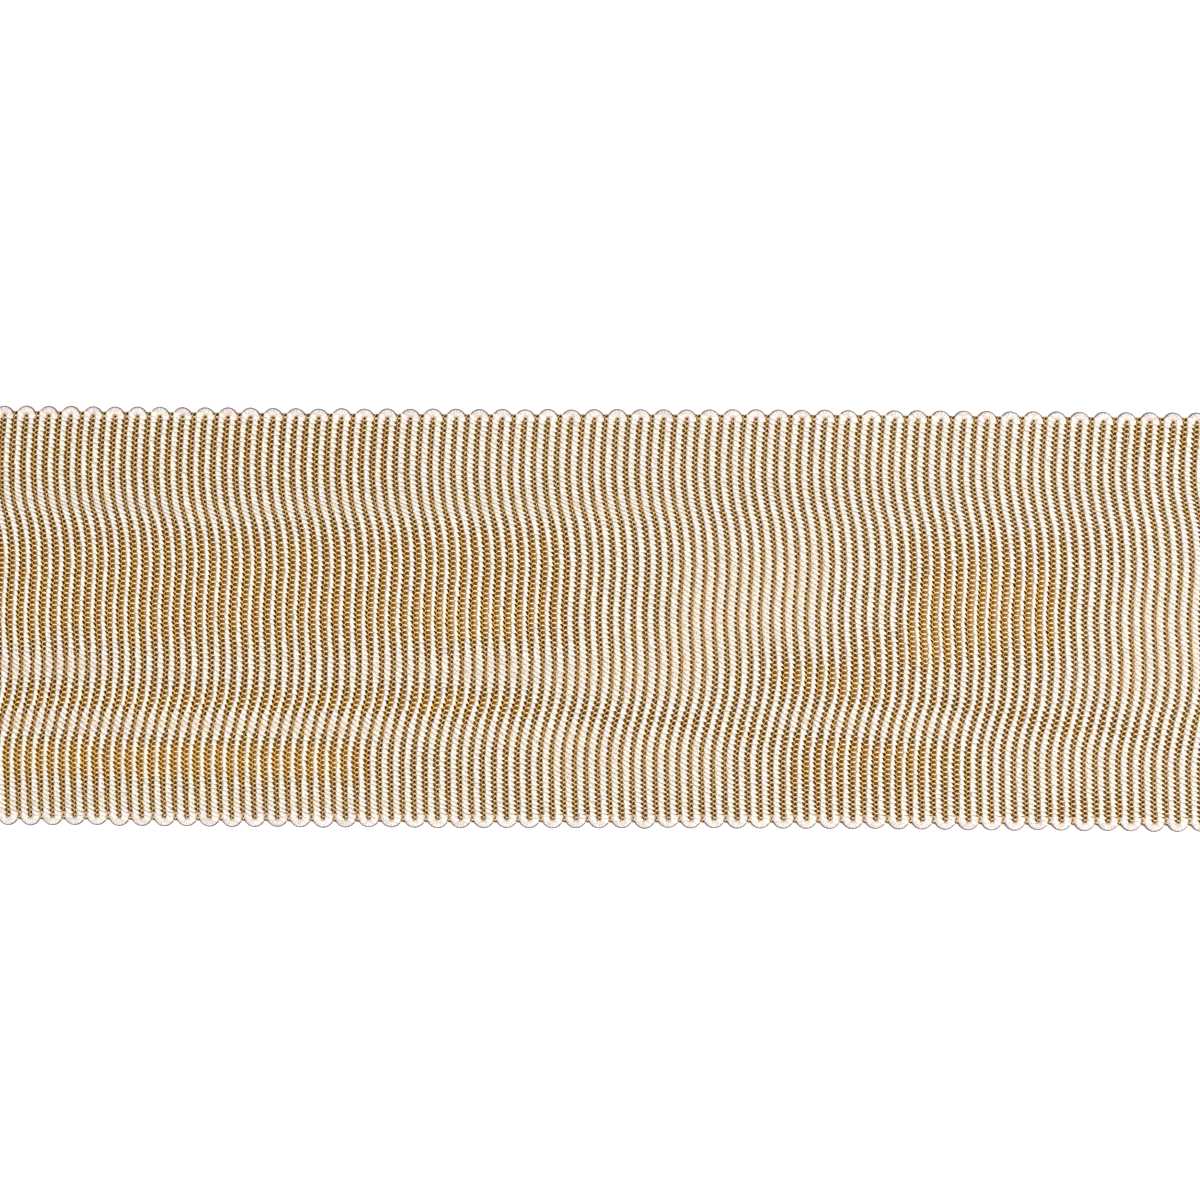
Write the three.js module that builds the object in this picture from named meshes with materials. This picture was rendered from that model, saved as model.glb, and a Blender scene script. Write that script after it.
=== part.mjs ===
// A cut length of ribbed two-colour woven tape, lying face up.
// Millimetres. +X runs along the tape, +Y across it and +Z up from what it lies on.
// The tape is one woven piece: ribs run from edge to edge, and at both long edges
// the thick rib yarn turns back in a row of small round loops.

import * as THREE from 'three';

// Driving sizes
const widthOverLoops = 50;
const clothThickness = 1.15;
const ribPitch = 1.37; // one cream rib and the gold furrow beside it
const ribCount = 118; // even, so that the upper edge starts and ends between two loops
const ribHeight = 0.25;
const loopReach = 0.75; // how far a loop's tip stands out of the cloth
const notchReach = 0.08; // and how far the place between two loops does
const loopTop = 1.05; // the loops' upper and lower sides, above the surface
const loopUnder = 0.25;
const rimLift = 0.25; // how far the outermost cloth curls up off the surface
const edgeWander = 0.07; // how far the long edges stray from a straight line
const edgeWanderLength = 97;

// How finely the solid follows the cloth
const stepsPerRib = 2; // a furrow and a crest
const stepsPerLoopRib = 3;
const undersideStep = 4; // ribs between two columns of the underside

const clothEdge = widthOverLoops / 2 - loopReach;
const middleRib = ribCount / 2;

// Each rib line bends sideways on its way across the tape.
// across is the distance from the tape's middle line, shift the sideways place there.
const ribBend = [
  { across: clothEdge, shift: -0.58 },
  { across: 20, shift: -0.85 },
  { across: 16.3, shift: -0.91 },
  { across: 13.2, shift: -0.53 },
  { across: 11, shift: -0.05 },
  { across: 7.5, shift: 0.31 },
  { across: 0, shift: 0 },
  { across: -6.5, shift: 0.19 },
  { across: -9.5, shift: -0.13 },
  { across: -12, shift: -0.74 },
  { across: -15.2, shift: -1.42 },
  { across: -20, shift: -1.52 },
  { across: -clothEdge, shift: -1.44 },
];

// The ribs lie a little closer together towards both ends of the tape.
const gather = { from: 64, left: 0.81, right: 0.25, power: 3 };

// Soft creases along the tape. Each has a crest line through three places, a height,
// half its width, and the stretch of the tape on which it has its full height.
const creases = [
  {
    name: 'upper crease', along: [-70, 0, 70], across: [13.3, 12.6, 13.4],
    height: 0.6, spread: 4.2, full: [-90, 90], fade: 10,
  },
  {
    name: 'lower left crease', along: [-70, -5, 36], across: [-10.2, -11.4, -15.4],
    height: 0.5, spread: 4, full: [-90, 30], fade: 16,
  },
  {
    name: 'lower right crease', along: [22, 43, 71], across: [-7.2, -10.4, -14.4],
    height: 0.45, spread: 3.6, full: [32, 90], fade: 14,
  },
];

// Low round swells where the cloth doesn't quite lie down.
const swells = [
  { name: 'middle swell', along: 15, across: 3.4, long: 11, wide: 5.5, height: 0.35 },
  { name: 'right swell', along: 46, across: 2.6, long: 9, wide: 5, height: 0.3 },
];

/** 1 at the middle, 0 at the distance 1 and beyond, with no edge between. */
function bump(distance) {
  return Math.abs(distance) < 1 ? Math.cos(distance * Math.PI / 2) ** 2 : 0;
}

/** The value at a place between the points of a rising table, along a smooth curve. */
function through(places, values, at) {
  const end = places.length - 1;
  const held = Math.min(Math.max(at, places[0]), places[end]);
  let k = 0;
  while (k < end - 1 && held > places[k + 1]) k += 1;
  const t = (held - places[k]) / (places[k + 1] - places[k]);
  return THREE.MathUtils.lerp(values[k], values[k + 1], THREE.MathUtils.smoothstep(t, 0, 1));
}

function creaseHeight(crease, along, across) {
  const line = through(crease.along, crease.across, along);
  const past = Math.max(crease.full[0] - along, along - crease.full[1], 0);
  return crease.height * bump(past / crease.fade) * bump((across - line) / crease.spread);
}

function swellHeight(swell, along, across) {
  const distance = Math.hypot(
    (along - swell.along) / swell.long,
    (across - swell.across) / swell.wide,
  );
  return swell.height * bump(distance);
}

/** How far the cloth's underside is lifted off the surface. */
function lift(along, across) {
  let height = 0;
  for (const crease of creases) {
    height = Math.max(height, creaseHeight(crease, along, across));
  }
  for (const swell of swells) {
    height = Math.max(height, swellHeight(swell, along, across));
  }
  return height;
}

/** Where a rib stands on the tape's middle line, before the tape is centred. */
function ribPlace(rib) {
  const even = (rib - middleRib) * ribPitch;
  const drawnIn = even < 0 ? gather.left : gather.right;
  return even + drawnIn * (Math.abs(even) / gather.from) ** gather.power;
}

const shifts = ribBend.map((row) => row.shift);
const leftEnd = ribPlace(0) + Math.min(...shifts);
const rightEnd = ribPlace(ribCount) + Math.max(...shifts);
const centre = (leftEnd + rightEnd) / 2;

function alongAt(rib, shift) {
  return ribPlace(rib) + shift - centre;
}

function wander(along) {
  return edgeWander * Math.sin(2 * Math.PI * along / edgeWanderLength);
}

/** How far the loops reach out beside a rib. The two edges' loops are one rib apart. */
function reach(rib, side) {
  const loop = (side > 0 ? rib : rib + 1) / 2;
  const fromTip = 2 * (loop - Math.floor(loop)) - 1;
  return notchReach + (loopReach - notchReach) * Math.sqrt(1 - fromTip ** 2);
}

const positions = [];
const triangles = [];

function addPoint(x, y, z) {
  positions.push(x, y, z);
  return positions.length / 3 - 1;
}

/** The rib numbers at which a row has its points. */
function ribSteps(count) {
  return Array.from({ length: count + 1 }, (_, k) => k * ribCount / count);
}

/** A row of points along the tape. place gives the point beside a rib. */
function addRow(ribs, place) {
  return ribs.map((rib) => ({ rib, index: addPoint(...place(rib)) }));
}

/** Triangles between two rows, facing the viewer who has the first row above the second. */
function fill(upper, lower) {
  let u = 0;
  let l = 0;
  while (u < upper.length - 1 || l < lower.length - 1) {
    const upperNext = u < upper.length - 1 ? upper[u + 1].rib : Infinity;
    const lowerNext = l < lower.length - 1 ? lower[l + 1].rib : Infinity;
    if (upperNext < lowerNext) {
      triangles.push(upper[u].index, lower[l].index, upper[u + 1].index);
      u += 1;
    } else {
      triangles.push(upper[u].index, lower[l].index, lower[l + 1].index);
      l += 1;
    }
  }
}

function faceRow(row) {
  return addRow(ribSteps(ribCount * stepsPerRib), (rib) => {
    const x = alongAt(rib, row.shift);
    const y = row.across + wander(x);
    const crest = rib % 1 === 0 ? 0 : ribHeight;
    return [x, y, clothThickness + crest + lift(x, row.across)];
  });
}

/** The underside lies flat inside its rim, in straight rows and columns. */
function undersideRow(row) {
  const count = Math.round(ribCount / undersideStep);
  const atEdge = Math.abs(row.across) === clothEdge;
  return addRow(ribSteps(count), (rib) => {
    const atEnd = rib === 0 || rib === ribCount;
    const x = alongAt(rib, atEnd ? row.shift : 0);
    const stray = atEdge ? wander(x) : 0;
    const curl = atEdge || atEnd ? rimLift : 0;
    return [x, row.across + stray, Math.max(lift(x, row.across), curl)];
  });
}

function loopRow(row, side, height) {
  return addRow(ribSteps(ribCount * stepsPerLoopRib), (rib) => {
    const x = alongAt(rib, row.shift);
    return [x, row.across + side * reach(rib, side) + wander(x), height];
  });
}

const upperEdge = ribBend[0];
const lowerEdge = ribBend[ribBend.length - 1];

const face = [
  loopRow(upperEdge, 1, loopTop),
  ...ribBend.map(faceRow),
  loopRow(lowerEdge, -1, loopTop),
];
const underside = [
  loopRow(upperEdge, 1, loopUnder),
  ...ribBend.map(undersideRow),
  loopRow(lowerEdge, -1, loopUnder),
];

for (let k = 1; k < face.length; k += 1) {
  fill(face[k - 1], face[k]);
  fill(underside[k], underside[k - 1]);
}
fill(underside[0], face[0]);
fill(face[face.length - 1], underside[underside.length - 1]);

/** The straight cut at one end, from the face down to the underside. */
function closeEnd(pick, flip) {
  for (let k = 1; k < face.length; k += 1) {
    const a = pick(face[k - 1]).index;
    const b = pick(face[k]).index;
    const c = pick(underside[k]).index;
    const d = pick(underside[k - 1]).index;
    const quad = flip ? [a, c, b, a, d, c] : [a, b, c, a, c, d];
    triangles.push(...quad);
  }
}

closeEnd((row) => row[0], true);
closeEnd((row) => row[row.length - 1], false);

const geometry = new THREE.BufferGeometry();
geometry.setAttribute('position', new THREE.Float32BufferAttribute(positions, 3));
geometry.setIndex(triangles);
geometry.computeVertexNormals();

const weave = new THREE.MeshStandardMaterial({
  color: 0xcbb494, // cream and gold yarns mixed
  roughness: 0.75,
  metalness: 0,
});

const tape = new THREE.Mesh(geometry, weave);
tape.name = 'tape';

const tapeTrim = new THREE.Group();
tapeTrim.add(tape);

export default tapeTrim;
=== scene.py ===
"""A cut length of ribbed cream and gold tape trim, lying face up and modelled yarn by yarn."""

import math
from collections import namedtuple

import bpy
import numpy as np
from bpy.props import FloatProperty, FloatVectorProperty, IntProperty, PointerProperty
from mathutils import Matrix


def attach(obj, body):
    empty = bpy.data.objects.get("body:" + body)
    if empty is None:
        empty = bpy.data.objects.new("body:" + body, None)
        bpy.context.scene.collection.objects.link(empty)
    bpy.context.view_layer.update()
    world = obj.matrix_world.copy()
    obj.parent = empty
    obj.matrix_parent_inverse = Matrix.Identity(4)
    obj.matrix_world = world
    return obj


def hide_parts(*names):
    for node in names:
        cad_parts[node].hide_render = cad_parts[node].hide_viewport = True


bl_info = {
    "name": "Ribbed Tape Trim",
    "version": (1, 0, 0),
    "blender": (4, 5, 0),
    "location": "3D Viewport > Sidebar > Tape Trim",
    "description": "Builds a cut length of ribbed two-colour tape with looped edges, yarn by yarn",
    "category": "Object",
}

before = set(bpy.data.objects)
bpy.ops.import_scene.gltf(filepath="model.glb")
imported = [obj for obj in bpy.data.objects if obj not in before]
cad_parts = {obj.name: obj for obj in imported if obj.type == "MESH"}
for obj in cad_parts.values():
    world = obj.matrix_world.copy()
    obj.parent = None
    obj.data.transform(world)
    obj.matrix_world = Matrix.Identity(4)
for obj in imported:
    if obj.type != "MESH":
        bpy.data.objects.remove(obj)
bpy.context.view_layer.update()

MM = 0.001
SEED = 11


def screen_colour(red, green, blue):
    """A colour given as a screen shows it, from 0 to 255, in the renderer's own scale."""
    def straight(level):
        level /= 255
        return level / 12.92 if level <= 0.04045 else ((level + 0.055) / 1.055) ** 2.4
    return tuple(straight(level) for level in (red, green, blue))


def named_rows(names, *rows):
    """A table: each row's values under the names of the columns."""
    return tuple(dict(zip(names.split(), row)) for row in rows)


# The tables below are in millimetres, in the tape's own frame: along is +X and across is +Y.

# Each rib line bends sideways on its way across the tape, by shifts that were measured in the
# photo at the listed places.
RIB_BEND = named_rows(
    "across shift",
    (24.25, -0.63), (20, -0.93), (16.3, -0.97), (13.2, -0.57), (11, -0.07), (7.5, 0.29), (0, 0),
    (-6.5, 0.23), (-9.5, -0.05), (-12, -0.67), (-15.2, -1.32), (-20, -1.39), (-24.25, -1.26),
)

# The ribs lie a little closer together towards both ends of the tape.
GATHER = dict(start=64, left=0.81, right=0.25, power=3)

EDGE_WANDER = dict(reach=0.07, length=97)

# Soft creases: a crest line through three places, its height, half its width, the stretch
# on which it has its full height, and how fast it dies away past that.
CREASES = named_rows(
    "along across height spread full fade",
    ((-70, 0, 70), (13.3, 12.6, 13.4), 0.6, 4.2, (-90, 90), 10),
    ((-70, -5, 36), (-10.2, -11.4, -15.4), 0.5, 4, (-90, 30), 16),
    ((22, 43, 71), (-7.2, -10.4, -14.4), 0.45, 3.6, (32, 90), 14),
)

# Low round swells where the cloth doesn't quite lie down.
SWELLS = named_rows(
    "along across long wide height",
    (15, 3.4, 11, 5.5, 0.35),
    (46, 2.6, 9, 5, 0.3),
)

# How far apart the stitches lie at the tape's middle line, and at some places across it.
MIDDLE_SPACING = 0.583
STITCH_SPACING = named_rows(
    "across spacing",
    (24.25, 0.565), (18.5, 0.58), (14, 0.525), (9.5, 0.58), (0, MIDDLE_SPACING), (-5, 0.59),
    (-11.5, 0.612), (-18, 0.575), (-24.25, 0.545),
)

# Where the cloth leans so that it shows more of its cream or, below zero, of its gold yarn.
# Each is a line through a few places, and spread is how far from the line it has faded to
# a half. amount is 0 for the usual look, and where rows overlap their amounts add up, to 1 or
# -1 at the most. tilt turns the ribs over to one side. A row fades away past both its ends.
LEAN_FADE = 5
LEANS = named_rows(
    "along across spread amount tilt",
    ((-22, 52), (20, 20), 4, 0.3, 0),
    ((-80, -26), (18.5, 18.5), 4.5, -0.22, -0.03),
    ((64, 72), (21.8, 21.8), 1.5, -0.4, 0),
    ((-80, -58, -46, -35, -8, 8), (13.8, 13.5, 12.2, 13.3, 13.2, 13.4), 1.1, 0.7, 0),
    ((25, 36), (11.3, 11.3), 1.5, 0.2, 0),
    ((38, 62), (9, 9), 1.8, -0.25, 0),
    ((-80, -7), (7.2, 7.4), 3, -0.6, 0),
    ((-80, -7), (0.6, 0.4), 3.4, -0.75, 0),
    ((-20, -12), (0, 0), 2, -0.3, 0),
    ((11, 24), (2.8, 3.0), 5.5, 0.9, 0),
    ((4, 12), (-3, -3), 2.5, 0.4, 0),
    ((-14, 10), (-6, -7.2), 2.2, 0.8, 0),
    ((-80, -63), (-5.9, -5.9), 1.2, 0.95, 0),
    ((-27, -17), (-6, -6), 1.3, 0.45, 0),
    ((-80, -10), (-10, -9.9), 1.7, -0.75, 0),
    ((-80, -28), (-12.6, -12.7), 1.2, 1.1, 0),
    ((-24, -4), (-13.4, -13.8), 1.4, 0.6, 0),
    ((-70, -31), (-16.8, -16.8), 2.1, -0.85, -0.1),
    ((-4, 13), (-16.8, -16.8), 3.6, 0.6, 0),
    ((-2, 7, 21, 35), (-11.5, -12.2, -13.9, -15.6), 0.8, -0.5, 0),
    ((23, 42), (-12.4, -12.8), 1.4, 0.6, 0),
    ((38, 52), (1.5, 1.5), 5.2, -0.95, 0),
    ((31, 35), (1.3, 1.3), 1.6, 0.3, 0),
    ((25, 36), (5.8, 5.8), 1.5, 0.25, 0),
    ((22, 32), (-6.3, -8), 2.2, -0.8, 0),
    ((32, 40), (-3.5, -3.5), 1.8, -0.4, 0),
    ((56, 62), (-7, -7), 2.4, 0.4, 0),
    ((64, 80), (-1, -1), 8, 0.75, 0),
    ((40, 57, 72), (-9.9, -12.3, -15), 0.9, -0.45, 0),
    ((24, 41), (-17.4, -17.6), 3, -0.6, 0),
    ((50, 80), (-17.5, -17.5), 3.4, 0.4, 0),
    ((-80, -15), (-22.4, -22.4), 1.3, 0.45, 0),
    ((55, 61), (-21.8, -21.8), 1.3, -0.45, 0),
)

# Where the white of a rib begins and ends, in ribs, for cloth that leans towards gold, for
# cloth that doesn't lean and for cloth that leans towards cream.
WHITE_FROM = dict(gold=0.45, even=0.25, cream=0.17)
WHITE_TO = dict(gold=0.66, even=0.73, cream=0.80)

# One float of the cream warp over a rib, and its gold tail that runs down through the furrow
# to the next finger. Its place along the tape is in parts of the white. past is in ribs before
# the white, and in parts of the tail behind it. gold, even and cream are how far it slants, in
# stitches, where the cloth leans to gold, not at all and to cream. cut is how far its lower
# side is ahead of its upper side, in ribs. Its start is cut so only where the cloth leans to
# cream, and its end wherever it doesn't lean to gold.
FLOAT = named_rows(
    "part past wide high rise gold even cream cut",
    (0.00, -0.10, 0.00, 0.00, 0.88, 0.04, 0.04, 0.34, 0.00),
    (0.10, 0.00, 0.32, 0.14, 1.15, 0.04, 0.03, 0.22, 0.26),
    (0.72, 0.00, 0.35, 0.14, 1.18, -0.04, -0.05, -0.14, 0.25),
    (1.00, 0.02, 0.27, 0.12, 1.17, -0.12, -0.16, -0.28, 0.30),
    (1.00, 0.28, 0.13, 0.10, 1.05, -0.36, -0.54, -0.66, 0.10),
    (1.00, 0.75, 0.08, 0.08, 0.99, -0.74, -0.84, -0.94, 0.02),
    (1.00, 1.00, 0.00, 0.00, 0.95, -1.00, -1.00, -1.08, 0.00),
)

# The thin warm thread that comes up out of the furrow between two floats, in ribs. It slants
# as the floats do.
FINGER = named_rows(
    "at wide high rise gold cream",
    (-0.06, 0.00, 0.00, 0.94, 0.00, 0.48),
    (0.05, 0.09, 0.07, 0.99, 0.01, 0.28),
    (0.30, 0.08, 0.07, 1.03, 0.00, -0.02),
    (0.56, 0.00, 0.00, 1.06, -0.05, -0.20),
)

# The ground's height over one rib, seen in the gaps between the yarns.
GROUND = named_rows(
    "at face under",
    (0.00, 0.86, 0.15), (0.36, 0.93, 0.03), (0.66, 1.00, 0.00), (0.86, 0.84, 0.08),
)


def smooth_curve(places, values, at):
    """The value at a place, on a smooth curve through the rows of a rising table."""
    places, values = np.asarray(places, float), np.asarray(values, float)
    at = np.clip(at, places[0], places[-1])
    slopes = np.gradient(values, places)
    k = np.clip(np.searchsorted(places, at, side="right") - 1, 0, len(places) - 2)
    span = places[k + 1] - places[k]
    t = (at - places[k]) / span
    start, end = values[k], values[k + 1]
    return (
        start * (1 + 2 * t) * (1 - t) ** 2
        + slopes[k] * span * t * (1 - t) ** 2
        + end * t ** 2 * (3 - 2 * t)
        - slopes[k + 1] * span * t ** 2 * (1 - t)
    )


def eased(places, values, at):
    """The value between the rows of a rising table, with a gentle start and end at each."""
    places, values = np.asarray(places, float), np.asarray(values, float)
    at = np.clip(at, places[0], places[-1])
    k = np.clip(np.searchsorted(places, at, side="left") - 1, 0, len(places) - 2)
    t = (at - places[k]) / (places[k + 1] - places[k])
    return values[k] + (values[k + 1] - values[k]) * t * t * (3 - 2 * t)


def bump(distance):
    """1 at the middle, 0 at the distance 1 and beyond, with no edge between."""
    return np.where(np.abs(distance) < 1, np.cos(np.clip(distance, -1, 1) * np.pi / 2) ** 2, 0.0)


def past_ends(first, last, at):
    """How far a place is past either end of a stretch, and 0 on it."""
    return np.maximum(np.maximum(first - at, at - last), 0)


def table(rows, *names):
    """The named columns of a table, in rising order of the first."""
    columns = np.array([[row[name] for name in names] for row in rows], float)
    return columns[np.argsort(columns[:, 0])].T


class Cloth:
    """Where everything lies on the tape. Distances are in millimetres, and rib and stitch
    are counted from the left end and from the upper edge."""

    samples_across = 2001
    bare_edge = 0.3  # stitches at each long edge in which no float or finger has its middle

    def __init__(self, sizes):
        self.ribs = sizes.rib_count
        self.pitch = sizes.rib_pitch / MM
        self.reach = sizes.loop_reach / MM
        self.half = sizes.width_over_loops / MM / 2
        self.edge = self.half - self.reach
        shifts = [row["shift"] for row in RIB_BEND]
        left = self.rib_place(0) + min(shifts)
        right = self.rib_place(self.ribs) + max(shifts)
        self.centre = (left + right) / 2
        across, spacing = table(STITCH_SPACING, "across", "spacing")
        self.rows_across = np.linspace(self.edge, -self.edge, self.samples_across)
        density = 1 / smooth_curve(across, spacing, self.rows_across)
        steps = (density[1:] + density[:-1]) / 2 * (self.rows_across[0] - self.rows_across[1])
        count = np.concatenate([[0], np.cumsum(steps)])
        self.stitches = int(round(count[-1]))
        self.rows_count = count * self.stitches / count[-1]

    def rib_place(self, rib):
        even = (np.asarray(rib, float) - self.ribs / 2) * self.pitch
        drawn_in = np.where(even < 0, GATHER["left"], GATHER["right"])
        return even + drawn_in * (np.abs(even) / GATHER["start"]) ** GATHER["power"]

    def bend(self, across):
        return smooth_curve(*table(RIB_BEND, "across", "shift"), across)

    def along(self, rib, across):
        return self.rib_place(rib) + self.bend(across) - self.centre

    def wander(self, along):
        return EDGE_WANDER["reach"] * np.sin(2 * np.pi * along / EDGE_WANDER["length"])

    def across(self, stitch):
        """How far from the tape's middle line a stitch lies."""
        return np.interp(stitch, self.rows_count, self.rows_across)

    def stitches_of(self, first, last, later):
        """The numbers of all stitches on some ribs, as columns. Every other rib is half a
        stitch further on, and so is whatever comes later by a half."""
        ribs, stitches = np.arange(first, last), np.arange(-1, self.stitches)
        rib, stitch = np.meshgrid(ribs, stitches, indexing="ij")
        stitch = stitch + 0.5 + (0.5 * (rib % 2) + later) % 1
        inside = (stitch > self.bare_edge) & (stitch < self.stitches - self.bare_edge)
        return rib[inside][:, None], stitch[inside][:, None]

    def spacing(self, stitch):
        return self.across(np.asarray(stitch) - 0.5) - self.across(np.asarray(stitch) + 0.5)

    def lift(self, along, across):
        """How far the creases and swells raise the cloth off the surface."""
        height = np.zeros(np.broadcast(along, across).shape)
        for crease in CREASES:
            line = eased(crease["along"], crease["across"], along)
            faded = bump(past_ends(*crease["full"], along) / crease["fade"])
            raised = crease["height"] * faded * bump((across - line) / crease["spread"])
            height = np.maximum(height, raised)
        for swell in SWELLS:
            distance = np.hypot(
                (along - swell["along"]) / swell["long"], (across - swell["across"]) / swell["wide"])
            height = np.maximum(height, swell["height"] * bump(distance))
        return height

    def lean(self, along, across):
        """How much more cream than usual the cloth shows, from -1 to 1, and its tilt."""
        lean, tilt = np.zeros((2, *np.broadcast(along, across).shape))
        for row in LEANS:
            line = eased(row["along"], row["across"], along)
            faded = bump(past_ends(row["along"][0], row["along"][-1], along) / LEAN_FADE)
            near = faded * bump((across - line) / (2 * row["spread"]))
            lean += row["amount"] * near
            tilt += row["tilt"] * near
        return np.clip(lean, -1, 1), tilt

    def white(self, lean, tilt):
        """Where the white of a rib begins and ends, in ribs."""
        def blend(ends):
            sides = np.where(lean < 0, ends["gold"], ends["cream"])
            return ends["even"] + (sides - ends["even"]) * np.abs(lean) + tilt
        return blend(WHITE_FROM), blend(WHITE_TO)

    def place(self, rib, across, height):
        """Points in metres from rib numbers, places across and heights over the surface."""
        along = self.along(rib, across)
        raised = height + self.lift(along, across)
        return np.stack(np.broadcast_arrays(along, across + self.wander(along), raised), axis=-1) * MM


Faces = namedtuple("Faces", "corners starts")


def copied(faces, points_each, copies):
    """The faces of a shape that is copied, each copy with points of its own."""
    offsets = np.arange(copies)[:, None]
    corners = (faces.corners[None] + offsets * points_each).ravel()
    starts = (faces.starts[None] + offsets * len(faces.corners)).ravel()
    return Faces(corners, starts)


def joined(*parts):
    """The faces of several meshes as one. Each part is its faces and its number of points."""
    corners, starts, points, length = [], [], 0, 0
    for faces, count in parts:
        corners.append(faces.corners + points)
        starts.append(faces.starts + length)
        points += count
        length += len(faces.corners)
    return Faces(np.concatenate(corners), np.concatenate(starts))


def quads(corners):
    corners = np.asarray(corners).reshape(-1, 4)
    return Faces(corners.ravel(), np.arange(len(corners)) * 4)


def shape_of(obj):
    """The points and faces of a modelled shape, which is then taken away."""
    mesh = obj.data
    points = np.empty(len(mesh.vertices) * 3)
    mesh.vertices.foreach_get("co", points)
    corners = np.empty(len(mesh.loops), int)
    mesh.loops.foreach_get("vertex_index", corners)
    starts = np.empty(len(mesh.polygons), int)
    mesh.polygons.foreach_get("loop_start", starts)
    bpy.data.objects.remove(obj)
    bpy.data.meshes.remove(mesh)
    return points.reshape(-1, 3), Faces(corners, starts)


def new_piece(name, points, faces, marks, finish):
    """A piece of the tape in its place. marks are values at its points, for its material."""
    mesh = bpy.data.meshes.new(name)
    mesh.vertices.add(len(points))
    mesh.vertices.foreach_set("co", np.ascontiguousarray(points, np.float32).ravel())
    mesh.loops.add(len(faces.corners))
    mesh.loops.foreach_set("vertex_index", faces.corners.astype(np.int32))
    mesh.polygons.add(len(faces.starts))
    mesh.polygons.foreach_set("loop_start", faces.starts.astype(np.int32))
    mesh.update(calc_edges=True)
    for mark, values in marks.items():
        layer = mesh.attributes.new(mark, "FLOAT", "POINT")
        layer.data.foreach_set("value", np.ascontiguousarray(values, np.float32).ravel())
    mesh.shade_smooth()
    mesh.materials.append(finish)
    obj = bpy.data.objects.new(name, mesh)
    bpy.context.scene.collection.objects.link(obj)
    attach(obj, "root")
    return obj


def deselect_all():
    for obj in bpy.context.selected_objects:
        obj.select_set(False)


def spindle(sides, rings):
    """A closed round shape that comes to a point at both ends: its points as ring numbers and
    angles, and its faces."""
    deselect_all()
    bpy.ops.mesh.primitive_uv_sphere_add(segments=sides, ring_count=rings, radius=1)
    points, faces = shape_of(bpy.context.object)
    ring = np.rint((np.pi - np.arccos(np.clip(points[:, 2], -1, 1))) * rings / np.pi).astype(int)
    return ring, np.arctan2(points[:, 1], points[:, 0]), faces


class Value:
    """A number that varies over a surface. Arithmetic on it adds Math nodes."""

    def __init__(self, finish, socket):
        self.finish = finish
        self.socket = socket

    def math(self, operation, first, second):
        return self.finish.node("ShaderNodeMath", {"operation": operation}, {0: first, 1: second})

    def __add__(self, other):
        return self.math("ADD", self, other)

    def __sub__(self, other):
        return self.math("SUBTRACT", self, other)

    def __mul__(self, other):
        return self.math("MULTIPLY", self, other)

    __radd__ = __add__
    __rmul__ = __mul__

    def fraction(self):
        return self.math("FRACT", self, 0)

    def size(self):
        return self.math("ABSOLUTE", self, 0)

    def sine(self):
        return self.math("SINE", self, 0)

    def wave(self):
        """The sine, moved to lie between 0 and 1."""
        return self.sine() * 0.5 + 0.5

    def between(self, low, high):
        """0 up to low and 1 from high, with a gentle change between, or the other way round
        where low is over high."""
        ends = {"From Min": low, "From Max": high}
        if low > high:
            ends = {"From Min": high, "From Max": low, "To Min": 1.0, "To Max": 0.0}
        settings = {"interpolation_type": "SMOOTHSTEP"}
        return self.finish.node("ShaderNodeMapRange", settings, {"Value": self, **ends})


class Finish:
    """One material. constants are what is the same all over, by the shader's sockets."""

    def __init__(self, name, constants):
        self.material = bpy.data.materials.new(name)
        self.material.use_nodes = True
        self.tree = self.material.node_tree
        self.tree.nodes.clear()
        output = self.tree.nodes.new("ShaderNodeOutputMaterial")
        self.shader = self.tree.nodes.new("ShaderNodeBsdfPrincipled")
        self.tree.links.new(self.shader.outputs["BSDF"], output.inputs["Surface"])
        for socket, value in constants.items():
            self.shader.inputs[socket].default_value = value

    def fill(self, socket, value):
        if isinstance(value, Value):
            self.tree.links.new(value.socket, socket)
        elif hasattr(value, "__len__") and len(value) == 3 and socket.type == "RGBA":
            socket.default_value = (*value, 1)
        else:
            socket.default_value = value

    def node(self, kind, settings, inputs, output=0):
        made = self.tree.nodes.new(kind)
        for name, setting in settings.items():
            setattr(made, name, setting)
        for name, value in inputs.items():
            self.fill(made.inputs[name], value)
        return Value(self, made.outputs[output])

    def mark(self, name):
        """A value that the mesh holds at its points."""
        return self.node("ShaderNodeAttribute", {"attribute_name": name}, {}, "Fac")

    def place(self):
        return self.node("ShaderNodeTexCoord", {}, {}, "Object")

    def noise(self, scale, detail=2.0):
        inputs = {"Vector": self.place(), "Scale": scale, "Detail": detail}
        return self.node("ShaderNodeTexNoise", {}, inputs, "Fac")

    def mix(self, amount, low, high, blend="MIX"):
        """A colour that is low where amount is 0 and high where it is 1."""
        made = self.tree.nodes.new("ShaderNodeMix")
        made.data_type = "RGBA"
        made.blend_type = blend
        sockets = {socket.name: socket for socket in made.inputs if socket.enabled}
        for name, value in {"Factor": amount, "A": low, "B": high}.items():
            self.fill(sockets[name], value)
        return Value(self, next(socket for socket in made.outputs if socket.enabled))

    def shaded(self, colour, amount):
        """A colour, darker or lighter by a varying number."""
        levels = {"Red": amount, "Green": amount, "Blue": amount}
        grey = self.node("ShaderNodeCombineColor", {}, levels)
        return self.mix(1.0, colour, grey, "MULTIPLY")

    def feed(self, name, value):
        self.fill(self.shader.inputs[name], value)

    def raise_by(self, height, distance):
        """Feeds the shader a fine relief, as high as the distance where height is 1."""
        self.feed("Normal", self.node("ShaderNodeBump", {}, {"Height": height, "Distance": distance}))


# How the yarns take the light, and how fine the specks of light and dark on them are
YARN = {"Sheen Weight": 0.1, "Specular IOR Level": 0.3}
SPECKS_PER_METRE = 5200.0


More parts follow.
